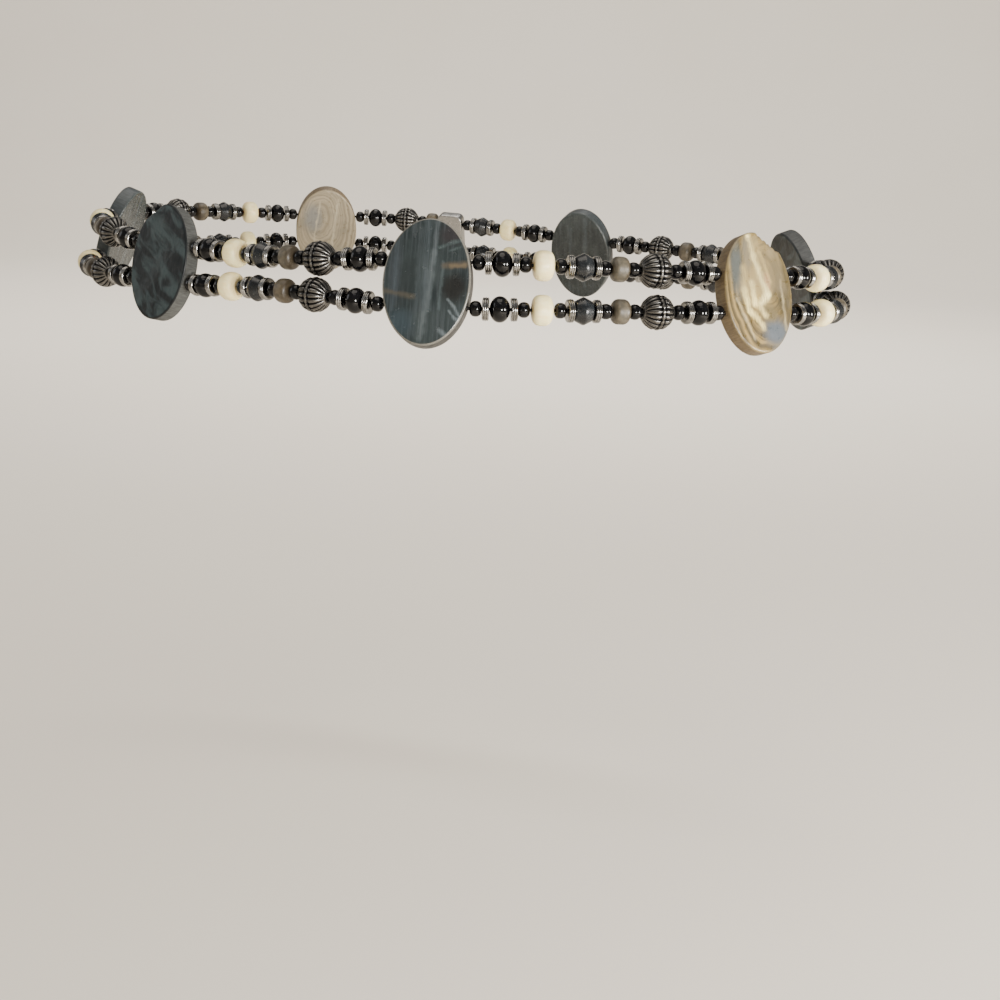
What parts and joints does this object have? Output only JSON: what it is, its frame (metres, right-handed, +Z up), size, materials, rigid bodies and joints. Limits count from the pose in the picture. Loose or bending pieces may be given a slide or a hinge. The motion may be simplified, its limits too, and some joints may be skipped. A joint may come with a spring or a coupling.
{
  "type": "beaded belt",
  "caption": "Closed waist belt of parallel strands of glass, bone, horn and fluted silver-coloured beads, strung through flat oval slabs of polished horn.",
  "frame": {"origin": "middle of the waist that the belt goes round, at the height midway between its strands", "axes": "+Z up the body, -Y towards the wearer's front, +X towards the wearer's left"},
  "size_m": [0.2972, 0.2134, 0.0425],
  "materials": {
    "horn_dark": "slate-grey horn, sanded to a low sheen",
    "horn_blue": "blue-grey horn with pale fibres, polished",
    "horn_tan": "tan and grey horn with curved growth bands, polished",
    "bone": "ivory-coloured bone, satin",
    "black_glass": "opaque black glass, glossy",
    "antique_silver": "silver-coloured metal, darkened in its recesses",
    "dark_bicone": "dark slate-grey, satin",
    "brown_rondelle": "brown-grey horn, dull",
    "thread": "black cord"
  },
  "bodies": {
    "root": {"clasp": "antique_silver", "slab_1": "horn_tan", "slab_2": "horn_blue", "slab_3": "horn_dark", "slab_4": "horn_blue", "slab_5": "horn_tan", "slab_6": "horn_dark", "slab_7": "horn_blue", "string_upper_right": "black_glass", "string_upper_left": "black_glass", "melon_bead_upper_1": "antique_silver", "bone_bead_upper_1": "bone", "melon_bead_upper_2": "antique_silver", "bone_bead_upper_2": "bone", "melon_bead_upper_3": "antique_silver", "bone_bead_upper_3": "bone", "melon_bead_upper_4": "antique_silver", "bone_bead_upper_4": "bone", "melon_bead_upper_5": "antique_silver", "bone_bead_upper_5": "bone", "melon_bead_upper_6": "antique_silver", "bone_bead_upper_6": "bone", "melon_bead_upper_7": "antique_silver", "bone_bead_upper_7": "bone", "string_lower_right": "black_glass", "string_lower_left": "black_glass", "melon_bead_lower_1": "antique_silver", "bone_bead_lower_1": "bone", "melon_bead_lower_2": "antique_silver", "bone_bead_lower_2": "bone", "melon_bead_lower_3": "antique_silver", "bone_bead_lower_3": "bone", "melon_bead_lower_4": "antique_silver", "bone_bead_lower_4": "bone", "melon_bead_lower_5": "antique_silver", "bone_bead_lower_5": "bone", "melon_bead_lower_6": "antique_silver", "bone_bead_lower_6": "bone", "melon_bead_lower_7": "antique_silver", "bone_bead_lower_7": "bone"}
  },
  "joints": []
}
